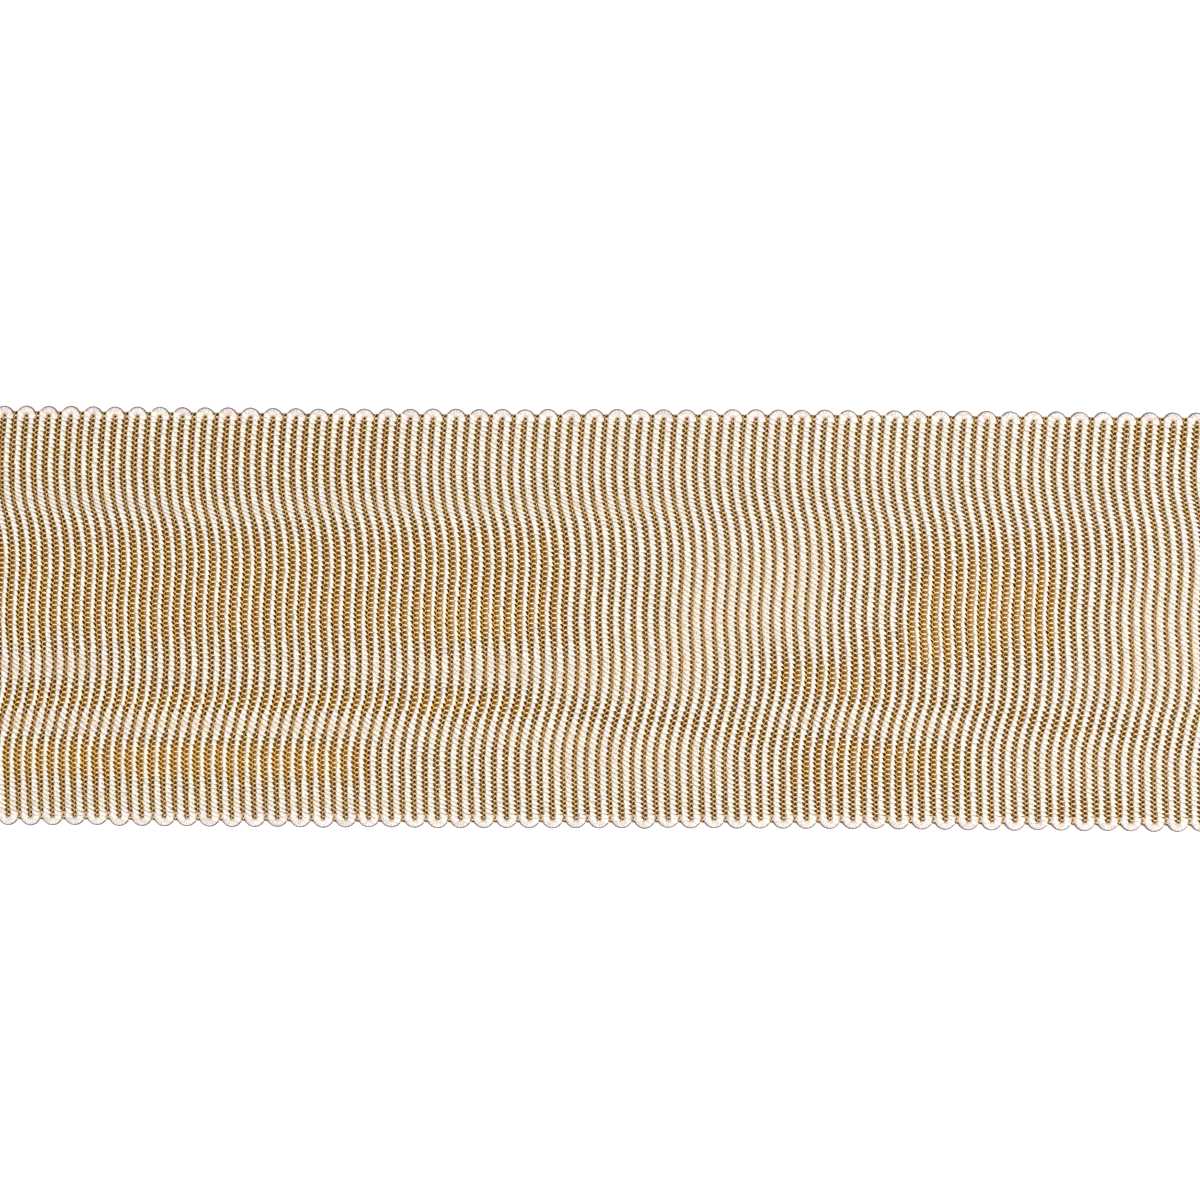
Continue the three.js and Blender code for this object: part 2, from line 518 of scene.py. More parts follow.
def cream_yarn(colours):
    """Soft white floats, with painted shade at the foot of the flank they come up on and along
    the sides where they meet, and yellow where they dive."""
    finish = Finish("cream_yarn", YARN)
    rise, dive, lean = finish.mark("yarn_rise"), finish.mark("yarn_dive"), finish.mark("lean")
    side, tone, part = finish.mark("yarn_side"), finish.mark("yarn_tone"), finish.mark("yarn_part")
    body = finish.mix(tone.between(-1, 1), colours.cream_cool, colours.cream_warm)
    # Painted shade: the foot of each float runs from the olive shade of the gaps through the
    # gold-tinted flank colour up to white, where it comes up out of the furrow
    flank = finish.mix(rise.between(-1.8, -0.5), colours.shaded_gap_olive, colours.flank)
    # Painted shade along the floats' sides where they meet their neighbours, strongest near a float's
    # start and weaker where the cloth leans to gold
    groove_shade = side.size().between(0.7, 0.92) * part.between(0.9, 0.3) * lean.between(-1.6, 0)
    groove_shaded = finish.mix(groove_shade, body, colours.groove_shade)
    risen = finish.mix(rise.between(-0.7, 0.6), flank, groove_shaded)
    tip = finish.mix(dive.between(0.4, 1.2), colours.cream_tip, colours.gold_deep)
    whole = finish.mix(dive.between(-0.5, 0.4), risen, tip)
    fibres = (side * 34 + rise * 3 + tone * 9).wave()
    speckle = finish.noise(SPECKS_PER_METRE).between(0.35, 0.6)
    finish.feed("Base Color", finish.shaded(whole, 0.77 + 0.03 * fibres + 0.27 * speckle))
    finish.feed("Roughness", 0.5 + 0.12 * fibres)
    finish.raise_by(fibres, 0.01 * MM)
    return finish.material


def finger_yarn(colours):
    """Thin peach thread between the floats, with painted shade where it runs in between them,
    and gold where the cloth leans towards cream."""
    finish = Finish("finger_yarn", YARN)
    place, tone, lean = finish.mark("yarn_place"), finish.mark("yarn_tone"), finish.mark("lean")
    start = finish.mix(lean.between(0.1, 0.9), colours.finger, colours.gold_deep)
    inward = place + 0.04 * tone - 0.14 * lean.between(0, -1) - 0.05 * lean.between(0, 1)
    # Painted shade: the finger takes the duller shade colour where it runs in between the floats
    colour = finish.mix(inward.between(0.02, 0.26), start, colours.finger_end_shade)
    fibres = (place * 60 + tone * 9).wave()
    finish.feed("Base Color", finish.shaded(colour, 0.93 + 0.07 * fibres))
    finish.feed("Roughness", 0.5 + 0.1 * fibres)
    return finish.material


def gold_yarn(colours):
    """The thin gold thread that zigzags down each furrow, with a painted highlight at its turns."""
    finish = Finish("gold_yarn", {**YARN, "Sheen Weight": 0.05})
    turn, tone = finish.mark("yarn_turn"), finish.mark("yarn_tone")
    twist = (turn * 5 * math.pi).wave()
    # Painted highlight at each turn of the thread, plus a random tone
    turn_highlight_and_tone = (turn * 2 * math.pi + math.pi / 2).sine() * 0.4 + 0.4 + 0.3 * tone
    colour = finish.mix(turn_highlight_and_tone, colours.gold_deep, colours.gold_light)
    finish.feed("Base Color", finish.shaded(colour, 0.9 + 0.1 * twist))
    finish.feed("Roughness", 0.45 + 0.15 * twist)
    finish.raise_by(twist, 0.01 * MM)
    return finish.material


def ground_yarn(colours):
    """What shows between the yarns: gaps before and past the white of each rib, brown, ochre
    or olive as the cloth leans and tilts, darkened with painted shade. The underside has cream ribs
    and gold furrows of its own."""
    finish = Finish("ground_yarn", {"Specular IOR Level": 0.1})
    rib, stitch, facing = finish.mark("rib"), finish.mark("stitch"), finish.mark("face")
    phase = rib.fraction()
    before, after = phase - finish.mark("white_from"), phase - finish.mark("white_to")
    lean, tilt = finish.mark("lean"), finish.mark("tilt")
    # Painted shade: the gaps before the white are painted dark brown or olive for the shade deep
    # between the yarns, over the ground's own brown
    olive = finish.mix(lean.size().between(0.1, 0.9), colours.shaded_gap_dark, colours.shaded_gap_olive)
    # Painted shade: under the white of a rib the ground takes the groove shade colour
    hole = finish.mix((before * (8 + 5 * lean)).between(-1.1, 0.2), olive, colours.groove_shade)
    # Painted shade: past the white the gaps are ochre or brown, and darkest where the cloth leans to
    # gold
    ochre = finish.mix(lean.between(0.2, 0.9), colours.shaded_gap_ochre, colours.shaded_gap_brown)
    deep = finish.mix(lean.between(-0.1, -0.8), ochre, colours.shaded_gap_dark)
    # Painted shade: the gaps are lighter where the ribs tilt below zero
    dark = finish.mix(tilt.between(-0.01, -0.05), deep, colours.shaded_gap_ochre)
    slope = finish.mix(after.between(-0.09, 0.0), hole, dark)
    patchy = finish.noise(SPECKS_PER_METRE).between(0.3, 0.7)
    face = finish.shaded(slope, 0.66 + 0.84 * patchy)
    stagger = (rib * 0.5).fraction().between(0.499, 0.501) * 0.5
    stitches = ((stitch + stagger) * 2 * math.pi).wave()
    cream = finish.shaded(colours.cream_warm, 0.82 + 0.18 * stitches)
    # Painted shade between the stitches in the underside's furrows
    furrow = finish.mix(stitches.between(0.3, 0.7), colours.shaded_gap_dark, colours.gold_light)
    under = finish.mix((phase - 0.5).size().between(0.38, 0.3), furrow, cream)
    finish.feed("Base Color", finish.mix(facing.between(0.4, 0.6), under, face))
    finish.feed("Roughness", 0.75 + 0.15 * patchy)
    finish.raise_by(stitches, 0.03 * MM)
    return finish.material


def loop_yarn(colours):
    """The thick rib yarn where it turns back at the edges: a soft core wrapped in fine thread,
    with painted shade in dark grey along its outer rim."""
    finish = Finish("loop_yarn", YARN)
    along, tone, rim = finish.mark("yarn_along"), finish.mark("yarn_tone"), finish.mark("yarn_rim_shade")
    uneven = finish.noise(2600.0, 3.0)
    wrap_width = 0.28  # mm
    wraps = ((along + 0.1 * uneven) * (2 * math.pi / wrap_width)).wave()
    lightness = (tone * 0.05 + uneven).between(0.3, 0.7)
    colour = finish.mix(lightness, colours.loop_shade, colours.loop_light)
    # Painted shade: dark grey along the upper outer rim of each loop
    rim_shaded = finish.mix(rim.between(0.5, 0.86), colour, colours.loop_rim_shade)
    finish.feed("Base Color", finish.shaded(rim_shaded, 0.76 + 0.24 * wraps))
    finish.feed("Roughness", 0.4 + 0.15 * uneven)
    finish.raise_by(wraps, 0.03 * MM)
    return finish.material


def cut_yarn(colours):
    """Frayed stubs of the cream and the gold yarn."""
    finish = Finish("cut_yarn", YARN)
    fibres = finish.noise(6000.0)
    colour = finish.mix(finish.mark("yarn_gold"), colours.cream_warm, colours.gold_light)
    finish.feed("Base Color", finish.shaded(colour, 0.75 + 0.4 * fibres))
    finish.feed("Roughness", 0.6 + 0.2 * fibres)
    return finish.material


def length_property(name, description, size, least):
    """A length, given in millimetres."""
    return FloatProperty(
        name=name, description=description, default=size * MM, min=least * MM,
        unit="LENGTH", precision=5)


class TapeSizes(bpy.types.PropertyGroup):
    """The tape's driving sizes."""
    width_over_loops: length_property("Width", "Width over the loops at both edges", 50, 10)
    loop_reach: length_property("Loop Reach", "How far the loops stand out of the cloth", 0.75, 0)
    rib_pitch: length_property("Rib Pitch", "One cream rib and the furrow beside it", 1.37, 0.2)
    rib_count: IntProperty(
        name="Ribs", description="Ribs along the cut length, an even number",
        default=118, min=2, max=400, step=2)
    furrow_thread: length_property("Furrow Thread", "Thickness of the gold thread", 0.14, 0.02)
    loop_yarn: length_property("Loop Yarn", "Thickness of the rib yarn at its turns", 1.10, 0.1)
    loop_middle: length_property("Loop Height", "Height of the middle of the loops", 0.76, 0.1)
    upper_turn: length_property("Upper Turn", "Radius of the turns at the upper edge", 0.68, 0.1)
    lower_turn: length_property("Lower Turn", "Radius of the turns at the lower edge", 0.8, 0.1)


def colour_property(name, description, level):
    return FloatVectorProperty(
        name=name, description=description, subtype="COLOR", size=3, min=0, max=1,
        default=screen_colour(*level))


class YarnColours(bpy.types.PropertyGroup):
    """The colours of the tape's yarns."""
    cream_cool: colour_property("Cream", "Cooler cream of the floats", (242, 236, 234))
    cream_warm: colour_property("Warm Cream", "Warmer cream of the floats", (249, 241, 221))
    cream_tip: colour_property("Float Tip", "Where a float dives into the furrow", (252, 238, 196))
    # Painted shade on the flank a float comes up on, over a gold tint
    flank: colour_property("Flank", "The flank a float comes up on", (232, 186, 104))
    # Painted shade on the floats' sides and on the ground seen between them
    groove_shade: colour_property("Groove", "The sides of the floats and what shows there", (213, 196, 174))
    finger: colour_property("Finger", "Thread that comes up between the floats", (255, 227, 172))
    # Painted shade where a finger runs in between the floats
    finger_end_shade: colour_property("Finger End", "Where it runs in between them", (230, 211, 180))
    gold_deep: colour_property("Deep Gold", "Darker gold of the furrow thread", (247, 188, 88))
    gold_light: colour_property("Light Gold", "Lighter gold of the furrow thread", (255, 226, 152))
    # Painted shade: the four gap colours below are the ground's brown and gold, darkened for the
    # shade deep in the gaps between the yarns
    shaded_gap_dark: colour_property("Dark Gap", "Gaps before the white of a rib", (68, 33, 0))
    shaded_gap_ochre: colour_property("Ochre Gap", "Gaps past the white of a rib", (98, 65, 14))
    shaded_gap_brown: colour_property("Brown Gap", "Ochre gaps where the cloth leans to cream", (92, 54, 0))
    shaded_gap_olive: colour_property("Olive Gap", "Dark gaps where the cloth leans", (126, 83, 6))
    loop_light: colour_property("Loop", "Light places on the edge loops", (234, 226, 220))
    loop_shade: colour_property("Loop Shade", "Shaded places on the edge loops", (208, 192, 186))
    # Painted shade along the loops' outer rim
    loop_rim_shade: colour_property("Loop Rim", "The outer rim of the edge loops", (72, 66, 60))


class StageSettings(bpy.types.PropertyGroup):
    """How the tape is looked at and lit."""
    lens: FloatProperty(
        name="Lens", description="Focal length of the camera", default=100, min=20, unit="CAMERA")
    roll: FloatProperty(
        name="Roll", description="Turn of the camera about its line of sight",
        default=math.radians(0.28), subtype="ANGLE")
    sky: FloatProperty(
        name="Sky", description="Strength of the even light all around", default=1.0, min=0)
    key: FloatProperty(
        name="Key Light", description="Power of the large soft lamp, in watts", default=2.75, min=0)
    floor_glow: FloatProperty(
        name="Floor Glow", description="How much the white table shines by itself",
        default=0.25, min=0)


class TAPE_OT_ground(bpy.types.Operator):
    """Make the woven ground that carries the yarns"""
    bl_idname = "tape.ground"
    bl_label = "Woven Ground"

    steps_across = 44

    def execute(self, context):
        cloth = Cloth(context.scene.tape_sizes)
        ribs = (np.arange(cloth.ribs)[:, None] + [row["at"] for row in GROUND]).ravel()
        ribs = np.concatenate([ribs, [cloth.ribs]])
        face = np.tile([row["face"] for row in GROUND], cloth.ribs + 1)[:len(ribs)]
        under = np.tile([row["under"] for row in GROUND], cloth.ribs + 1)[:len(ribs)]
        stitch = np.linspace(0, cloth.stitches, self.steps_across + 1)
        across = cloth.across(stitch)[:, None]
        top = cloth.place(ribs[None], across, face[None])
        bottom = cloth.place(ribs[None], across, under[None])
        rows, columns = top.shape[:2]
        index = np.arange(rows * columns).reshape(rows, columns)
        a, b, c, d = index[:-1, :-1], index[1:, :-1], index[1:, 1:], index[:-1, 1:]
        upper = np.stack([a, b, c, d], axis=-1)
        lower = np.stack([a, d, c, b], axis=-1) + index.size
        rim = np.concatenate([index[0, :-1], index[:-1, -1], index[-1, :0:-1], index[:0:-1, 0]])
        after = np.roll(rim, -1)
        wall = np.stack([rim, after, after + index.size, rim + index.size], axis=-1)
        faces = quads(np.concatenate([upper.reshape(-1, 4), lower.reshape(-1, 4), wall]))
        points = np.concatenate([top.reshape(-1, 3), bottom.reshape(-1, 3)])
        lean, tilt = cloth.lean(cloth.along(ribs[None], across), across)
        start, end = cloth.white(lean, tilt)
        marks = {
            "rib": ribs, "stitch": stitch[:, None], "lean": lean, "tilt": tilt,
            "white_from": start, "white_to": end,
        }
        for name, values in marks.items():
            marks[name] = np.tile(np.broadcast_to(values, (rows, columns)).ravel(), 2)
        marks["face"] = np.repeat([1.0, 0.0], index.size)
        finish = ground_yarn(context.scene.tape_colours)
        ground = new_piece("tape_ground", points, faces, marks, finish)
        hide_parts("tape")
        return {"FINISHED"}


class TAPE_OT_floats(bpy.types.Operator):
    """Lay the white floats of the warp over the ribs"""
    bl_idname = "tape.floats"
    bl_label = "White Floats"

    sides = 6
    sections = 4
    rib_drift = 0.07  # how much the lean strays from rib to rib
    # How much the floats stray one by one: in lean, in ribs, in parts of their own thickness,
    # in stitches, in height and in tone
    stray = dict(lean=0.1, at=0.018, fuller=0.08, slip=0.03, height=0.012, tone=0.45)

    def execute(self, context):
        cloth = Cloth(context.scene.tape_sizes)
        finish = cream_yarn(context.scene.tape_colours)
        ring, angle, faces = spindle(self.sides, len(FLOAT) - 1)
        chance = np.random.default_rng(SEED)
        drift = chance.normal(0, self.rib_drift, cloth.ribs)
        bounds = np.linspace(0, cloth.ribs, self.sections + 1).astype(int)
        for section, (first, last) in enumerate(zip(bounds[:-1], bounds[1:])):
            rib, stitch = cloth.stitches_of(first, last, 0.0)
            points, marks = self.floats(cloth, rib, stitch, drift[rib], ring, angle, chance)
            new_piece(
                f"white_floats_{section + 1}", points.reshape(-1, 3),
                copied(faces, len(ring), len(points)), marks, finish)
        return {"FINISHED"}

    def floats(self, cloth, rib, stitch, drift, ring, angle, chance):
        shape = rib.shape
        middle = cloth.across(stitch)
        lean, tilt = cloth.lean(cloth.along(rib + 0.5, middle), middle)
        lean = np.clip(lean + drift + chance.normal(0, self.stray["lean"], shape), -1.1, 1.1)
        start, end = cloth.white(lean, tilt)
        column = {name: np.array([row[name] for row in FLOAT])[ring] for name in FLOAT[0]}
        climb = 1 - np.where(lean < 0, 1.1, 0.5) * lean
        tail = 1.02 + 0.05 * lean - end
        beyond = np.where(column["past"] < 0, climb, tail)
        at = start + (end - start) * column["part"] + column["past"] * beyond
        at = at + chance.normal(0, self.stray["at"], shape)
        slanted = np.where(column["part"] > 0.5, np.clip(lean + 1, 0, 1), np.clip(lean, 0, 1))
        ahead = -column["cut"] * slanted * np.cos(angle)
        fuller = 1 + chance.normal(0, self.stray["fuller"], shape)
        pitch = cloth.spacing(stitch)
        leant = np.where(lean < 0, column["gold"], column["cream"])
        slip = column["even"] + (leant - column["even"]) * np.abs(lean)
        slip = (slip + chance.normal(0, self.stray["slip"], shape)) * pitch
        wide = column["wide"] * pitch / MIDDLE_SPACING * fuller
        across = np.maximum(middle + slip + wide * np.cos(angle), -cloth.edge)
        height = column["rise"] + column["high"] * fuller * np.sin(angle)
        height = height + chance.normal(0, self.stray["height"], shape)
        soft = 0.07 - 0.06 * lean + 0.03 * np.abs(lean) - 1.5 * tilt
        full = np.ones_like(at)
        # yarn_rise and yarn_side place the painted shade at a float's foot and along its sides
        marks = {
            "yarn_rise": np.clip((at - start) / soft, -2, 2),
            "yarn_dive": np.clip((at - end) / 0.1 - 0.3 * np.cos(angle), -2, 2),
            "yarn_side": full * np.cos(angle),
            "yarn_part": full * column["part"],
            "lean": full * lean,
            "yarn_tone": full * np.clip(chance.normal(0, self.stray["tone"], shape), -1, 1),
        }
        return cloth.place(rib + at + ahead, across, height), marks


class TAPE_OT_fingers(bpy.types.Operator):
    """Bring the thin warm thread up out of the furrow between every two floats"""
    bl_idname = "tape.fingers"
    bl_label = "Fingers Between the Floats"

    sides = 4
    # How much the fingers stray one by one, as the floats do
    stray = dict(at=0.01, slip=0.02, fuller=0.08, height=0.01, tone=0.45)

    def execute(self, context):
        cloth = Cloth(context.scene.tape_sizes)
        ring, angle, faces = spindle(self.sides, len(FINGER) - 1)
        chance = np.random.default_rng(SEED + 3)
        rib, stitch = cloth.stitches_of(0, cloth.ribs, 0.5)
        shape = rib.shape
        column = {name: np.array([row[name] for row in FINGER])[ring] for name in FINGER[0]}
        at = column["at"] + chance.normal(0, self.stray["at"], shape)
        middle = cloth.across(stitch)
        pitch = cloth.spacing(stitch)
        lean = cloth.lean(cloth.along(rib, middle), middle)[0]
        slip = column["gold"] + (column["cream"] - column["gold"]) * (lean + 1) / 2
        slip = (slip + chance.normal(0, self.stray["slip"], shape)) * pitch
        fuller = 1 + chance.normal(0, self.stray["fuller"], shape)
        wide = column["wide"] * pitch / MIDDLE_SPACING * (1 - 0.25 * lean) * fuller
        across = middle + slip + wide * np.cos(angle)
        height = column["rise"] + column["high"] * np.sin(angle)
        height = height + chance.normal(0, self.stray["height"], shape)
        points = cloth.place(rib + at, across, height)
        full = np.ones_like(at)
        marks = {
            "yarn_place": at,
            "yarn_tone": full * np.clip(chance.normal(0, self.stray["tone"], shape), -1, 1),
            "lean": full * lean,
        }
        new_piece(
            "warm_fingers", points.reshape(-1, 3), copied(faces, len(ring), len(points)), marks,
            finger_yarn(context.scene.tape_colours))
        return {"FINISHED"}


class TAPE_OT_furrow_threads(bpy.types.Operator):
    """Run a gold thread down each furrow, zigzag between the stitches"""
    bl_idname = "tape.furrow_threads"
    bl_label = "Furrow Threads"

    sway = 0.08  # ribs to each side of the furrow's middle
    pull = 0.05  # ribs that it is pulled back where the cloth leans towards gold
    height = 1.02
    dip = 0.03
    raised = 0.02  # where the cloth leans towards gold
    inset = 1  # half stitches that a thread stops short inside an edge loop

    def execute(self, context):
        sizes = context.scene.tape_sizes
        cloth = Cloth(sizes)
        chance = np.random.default_rng(SEED + 1)
        radius = sizes.furrow_thread / MM / 2
        step = np.arange(2 * cloth.stitches + 1)
        furrow = np.arange(cloth.ribs + 1)[:, None]
        first = np.where(furrow % 2 == 1, self.inset, 0)
        last = step[-1] - np.where(furrow % 2 == 0, self.inset, 0)
        kept = (step >= first) & (step <= last)
        side = np.where((step + furrow) % 2 == 0, 1.0, -1.0)
        stitch = np.broadcast_to(step / 2, side.shape)
        across = cloth.across(stitch)
        lean = cloth.lean(cloth.along(furrow, across), across)[0]
        rib = furrow + self.sway * side + self.pull * (lean - 1)
        rib = rib + chance.normal(0, 0.008, side.shape)
        rise = self.height + self.dip * side + self.raised * np.maximum(-lean, 0)
        corner = np.radians([90, 210, 330])
        thickness = radius * (1 + chance.normal(0, 0.06, side.shape))[..., None]
        offset = thickness * np.cos(corner) / cloth.pitch
        ups = thickness * np.sin(corner)
        points = cloth.place(rib[..., None] + offset, across[..., None], rise[..., None] + ups)
        number = np.cumsum(kept).reshape(kept.shape) - 1
        index = 3 * number[..., None] + np.arange(3)
        after = np.roll(index, -1, axis=2)
        tube = np.stack([index[:, :-1], index[:, 1:], after[:, 1:], after[:, :-1]], axis=-1)
        sides = quads(tube[kept[:, :-1] & kept[:, 1:]])
        starts = np.take_along_axis(index, first[..., None], axis=1)[:, 0]
        ends = np.take_along_axis(index, last[..., None], axis=1)[:, 0, ::-1]
        caps = np.concatenate([starts, ends])
        faces = Faces(
            np.concatenate([sides.corners, caps.ravel()]),
            np.concatenate([sides.starts, len(sides.corners) + 3 * np.arange(len(caps))]))
        tone = np.clip(chance.normal(0, 0.4, side.shape), -1, 1)
        marks = {"yarn_turn": np.repeat(stitch[kept] * 2, 3), "yarn_tone": np.repeat(tone[kept], 3)}
        new_piece(
            "furrow_threads", points[kept].reshape(-1, 3), faces, marks,
            gold_yarn(context.scene.tape_colours))
        return {"FINISHED"}


class TAPE_OT_edge_loops(bpy.types.Operator):
    """Turn the thick rib yarn back in a row of loops at both long edges"""
    bl_idname = "tape.edge_loops"
    bl_label = "Edge Loops"

    steps_round = 20
    sides = 10
    leg = 0.3  # mm
    flatness = 0.85
    upper_inset = 0.08  # mm by which the upper loops are shorter

    def turn(self, radius, yarn):
        """Half a ring with two straight legs, standing out along +Y."""
        deselect_all()
        bpy.ops.mesh.primitive_torus_add(
            major_segments=self.steps_round, minor_segments=self.sides,
            major_radius=radius, minor_radius=yarn / 2)
        obj = bpy.context.object
        bpy.ops.object.mode_set(mode="EDIT")
        bpy.ops.mesh.select_all(action="SELECT")
        bpy.ops.mesh.bisect(plane_co=(0, 0, 0), plane_no=(0, 1, 0), clear_inner=True)
        bpy.ops.mesh.select_all(action="SELECT")
        bpy.ops.mesh.region_to_loop()
        bpy.ops.mesh.extrude_edges_move(TRANSFORM_OT_translate={"value": (0, -self.leg, 0)})
        bpy.ops.mesh.select_all(action="SELECT")
        bpy.ops.mesh.fill_holes(sides=0)
        bpy.ops.object.mode_set(mode="OBJECT")
        return shape_of(obj)

    def edge(self, cloth, sizes, side, radius, tips, chance):
        """The loops of one edge. side is 1 at the upper edge and -1 at the lower one."""
        yarn = sizes.loop_yarn / MM
        points, faces = self.turn(radius, yarn)
        x, y, z = points.T
        round_it = np.arctan2(np.maximum(y, 0), x)
        travelled = radius * round_it + np.where(x > 0, np.minimum(y, 0), -np.minimum(y, 0))
        outward = (np.hypot(x, np.maximum(y, 0)) - radius) / (yarn / 2)
        upper_half = z > -0.01 * yarn
        # Painted shade: how far out on the loop's upper half a point lies, for the dark rim
        rim = np.where(upper_half, outward * np.clip(2 * y / radius, 0, 1), 0)
        if side < 0:
            x = -x
        middle = cloth.half - yarn / 2 - radius - max(side, 0) * self.upper_inset
        reach = 1 + chance.normal(0, 0.02, (len(tips), 1))
        across = side * (middle + y * np.where(y > 0, reach, 1))
        rib = tips[:, None] + x / cloth.pitch + chance.normal(0, 0.012, (len(tips), 1))
        height = sizes.loop_middle / MM + self.flatness * z
        placed = cloth.place(rib, across, height)
        marks = {
            "yarn_along": np.broadcast_to(travelled, rib.shape),
            "yarn_rim_shade": np.broadcast_to(rim, rib.shape),
            "yarn_tone": np.broadcast_to(chance.uniform(-1, 1, (len(tips), 1)), rib.shape),
        }
        return placed, copied(faces, len(points), len(tips)), marks

    def execute(self, context):
        sizes = context.scene.tape_sizes
        cloth = Cloth(sizes)
        chance = np.random.default_rng(SEED + 2)
        upper_tips = np.arange(1, cloth.ribs, 2)
        lower_tips = np.arange(2, cloth.ribs - 1, 2)
        upper = self.edge(cloth, sizes, 1, sizes.upper_turn / MM, upper_tips, chance)
        lower = self.edge(cloth, sizes, -1, sizes.lower_turn / MM, lower_tips, chance)
        points = [part[0].reshape(-1, 3) for part in (upper, lower)]
        faces = joined((upper[1], len(points[0])), (lower[1], len(points[1])))
        marks = {
            name: np.concatenate([upper[2][name].ravel(), lower[2][name].ravel()])
            for name in upper[2]
        }
        finish = loop_yarn(context.scene.tape_colours)
        new_piece("edge_loops", np.concatenate(points), faces, marks, finish)
        return {"FINISHED"}


class TAPE_OT_cut_ends(bpy.types.Operator):
    """Let the cut warp yarns stand out a little at both ends of the tape"""
    bl_idname = "tape.cut_ends"
    bl_label = "Cut Ends"

    sides = 4
    rings = 3
    shortest = 0.35
    longest = 1.1
    rooted = 0.2  # how far inside the tape's end a stub begins
    thickness = 0.3
    height = 0.85
    droop = 0.1

    def execute(self, context):
        cloth = Cloth(context.scene.tape_sizes)
        ring, angle, faces = spindle(self.sides, self.rings)
        chance = np.random.default_rng(SEED + 4)
        stitch = np.arange(1, 2 * cloth.stitches)[:, None] / 2
        out = ring / self.rings
        between_tips = (ring > 0) & (ring < self.rings)
        thick = self.thickness / 2 * np.sin(np.pi * (0.15 + 0.7 * out)) * between_tips
        points, marks = [], []
        for end, side in ((0, -1), (cloth.ribs, 1)):
            reach = chance.uniform(self.shortest, self.longest, stitch.shape) * side
            droop = chance.normal(self.droop, 0.08, stitch.shape)
            drift = chance.normal(0, 0.15, stitch.shape)
            across = cloth.across(stitch) + drift * out + thick * np.cos(angle)
            height = self.height - droop * out + thick * np.sin(angle)
            rib = end + (reach * out - self.rooted * side) / cloth.pitch
            points.append(cloth.place(rib, across, height))
            marks.append(np.broadcast_to(np.where(stitch % 1 == 0, 1.0, 0.0), across.shape))
        points = np.concatenate(points)
        new_piece(
            "cut_ends", points.reshape(-1, 3), copied(faces, len(ring), len(points)),
            {"yarn_gold": np.concatenate(marks)}, cut_yarn(context.scene.tape_colours))
        return {"FINISHED"}


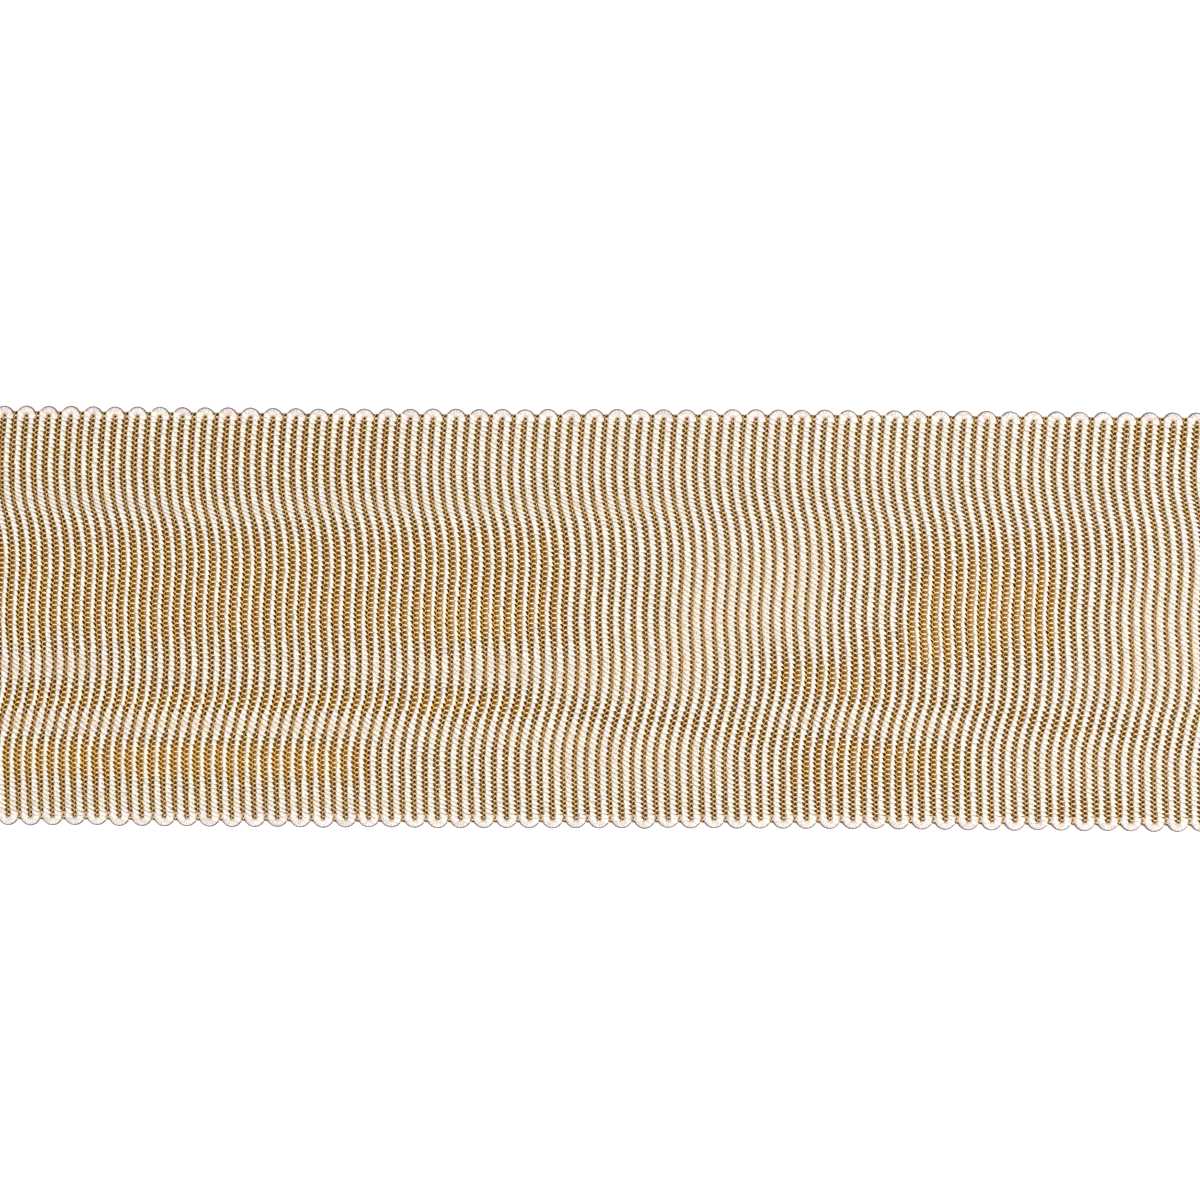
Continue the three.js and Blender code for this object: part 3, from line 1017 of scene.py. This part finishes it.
class TAPE_OT_stage(bpy.types.Operator):
    """Lay a white table, hang the lights and set up the camera above the tape"""
    bl_idname = "tape.stage"
    bl_label = "Table, Lights and Camera"

    # The picture is 1200 pixels wide. The tape is 421 pixels wide in it, its middle line
    # crosses the picture's middle column at row 618.5, and its middle furrow is near column 599.
    picture = 1200
    tape_width = 421
    tape_row = 618.5
    furrow_column = 598.9
    face_height = 1.3 * MM
    table_half = 1.5
    table_drop = 0.05 * MM
    lamp_size = (0.5, 0.3)
    lamp_place = (0.3, -0.1, 0.55)
    lamp_turn = (9, 28.6, 0)  # degrees

    def execute(self, context):
        scene = context.scene
        sizes, stage = scene.tape_sizes, scene.tape_stage
        cloth = Cloth(sizes)
        pixel = sizes.width_over_loops / self.tape_width
        furrow = float(cloth.along(cloth.ribs / 2, 0)) * MM
        aim_x = furrow + (self.picture / 2 - self.furrow_column) * pixel
        aim_y = (self.tape_row - self.picture / 2) * pixel
        self.table(stage)
        self.lights(scene, stage)
        self.camera(scene, stage, aim_x, aim_y, pixel * self.picture)
        scene.view_settings.view_transform = "Standard"
        scene.view_settings.look = "None"
        return {"FINISHED"}

    def table(self, stage):
        deselect_all()
        bpy.ops.mesh.primitive_plane_add(
            size=2 * self.table_half, location=(0, 0, -self.table_drop))
        table = bpy.context.object
        table.name = "white_table"
        finish = Finish("white_table", {
            "Base Color": (0.92, 0.92, 0.92, 1), "Specular IOR Level": 0.1, "Roughness": 0.8,
            "Emission Color": (1, 1, 1, 1), "Emission Strength": stage.floor_glow,
        })
        table.data.materials.append(finish.material)

    def lights(self, scene, stage):
        world = bpy.data.worlds.new("even_light")
        world.use_nodes = True
        background = world.node_tree.nodes["Background"]
        background.inputs["Color"].default_value = (1, 1, 1, 1)
        background.inputs["Strength"].default_value = stage.sky
        scene.world = world
        lamp = bpy.data.lights.new("key_lamp", "AREA")
        lamp.shape = "RECTANGLE"
        lamp.size, lamp.size_y = self.lamp_size
        lamp.energy = stage.key
        holder = bpy.data.objects.new("key_lamp", lamp)
        holder.location = self.lamp_place
        holder.rotation_euler = [math.radians(turn) for turn in self.lamp_turn]
        scene.collection.objects.link(holder)

    def camera(self, scene, stage, aim_x, aim_y, width):
        data = bpy.data.cameras.new("camera")
        data.type = "PERSP"
        data.sensor_width = 36
        data.lens = stage.lens
        data.clip_start = 0.01
        holder = bpy.data.objects.new("camera", data)
        distance = width / 2 / math.tan(data.angle / 2)
        holder.location = (aim_x, aim_y, self.face_height + distance)
        holder.rotation_euler = (0, 0, stage.roll)
        scene.collection.objects.link(holder)
        scene.camera = holder


class TAPE_PT_panel(bpy.types.Panel):
    """The tape's sizes, colours and pieces"""
    bl_idname = "TAPE_PT_panel"
    bl_label = "Tape Trim"
    bl_space_type = "VIEW_3D"
    bl_region_type = "UI"
    bl_category = "Tape Trim"

    def draw(self, context):
        scene = context.scene
        for group in (scene.tape_sizes, scene.tape_colours, scene.tape_stage):
            box = self.layout.box()
            for name in group.__annotations__:
                box.prop(group, name)
        for operator in OPERATORS:
            self.layout.operator(operator.bl_idname)


OPERATORS = (
    TAPE_OT_ground,
    TAPE_OT_floats,
    TAPE_OT_fingers,
    TAPE_OT_furrow_threads,
    TAPE_OT_edge_loops,
    TAPE_OT_cut_ends,
    TAPE_OT_stage,
)
CLASSES = (TapeSizes, YarnColours, StageSettings, *OPERATORS, TAPE_PT_panel)


def register():
    for each in CLASSES:
        bpy.utils.register_class(each)
    bpy.types.Scene.tape_sizes = PointerProperty(type=TapeSizes)
    bpy.types.Scene.tape_colours = PointerProperty(type=YarnColours)
    bpy.types.Scene.tape_stage = PointerProperty(type=StageSettings)


def unregister():
    del bpy.types.Scene.tape_stage
    del bpy.types.Scene.tape_colours
    del bpy.types.Scene.tape_sizes
    for each in reversed(CLASSES):
        bpy.utils.unregister_class(each)


def declare_sheet(sizes):
    """Works out the length and the width of the laid sheet of cloth, but uses neither."""
    cloth = Cloth(sizes)
    length = float(cloth.rib_place(cloth.ribs) - cloth.rib_place(0)) * MM
    2 * cloth.edge * MM


def main():
    register()
    bpy.ops.tape.ground()
    bpy.ops.tape.floats()
    bpy.ops.tape.fingers()
    bpy.ops.tape.furrow_threads()
    bpy.ops.tape.edge_loops()
    bpy.ops.tape.cut_ends()
    bpy.ops.tape.stage()
    declare_sheet(bpy.context.scene.tape_sizes)


if __name__ == "__main__":
    main()
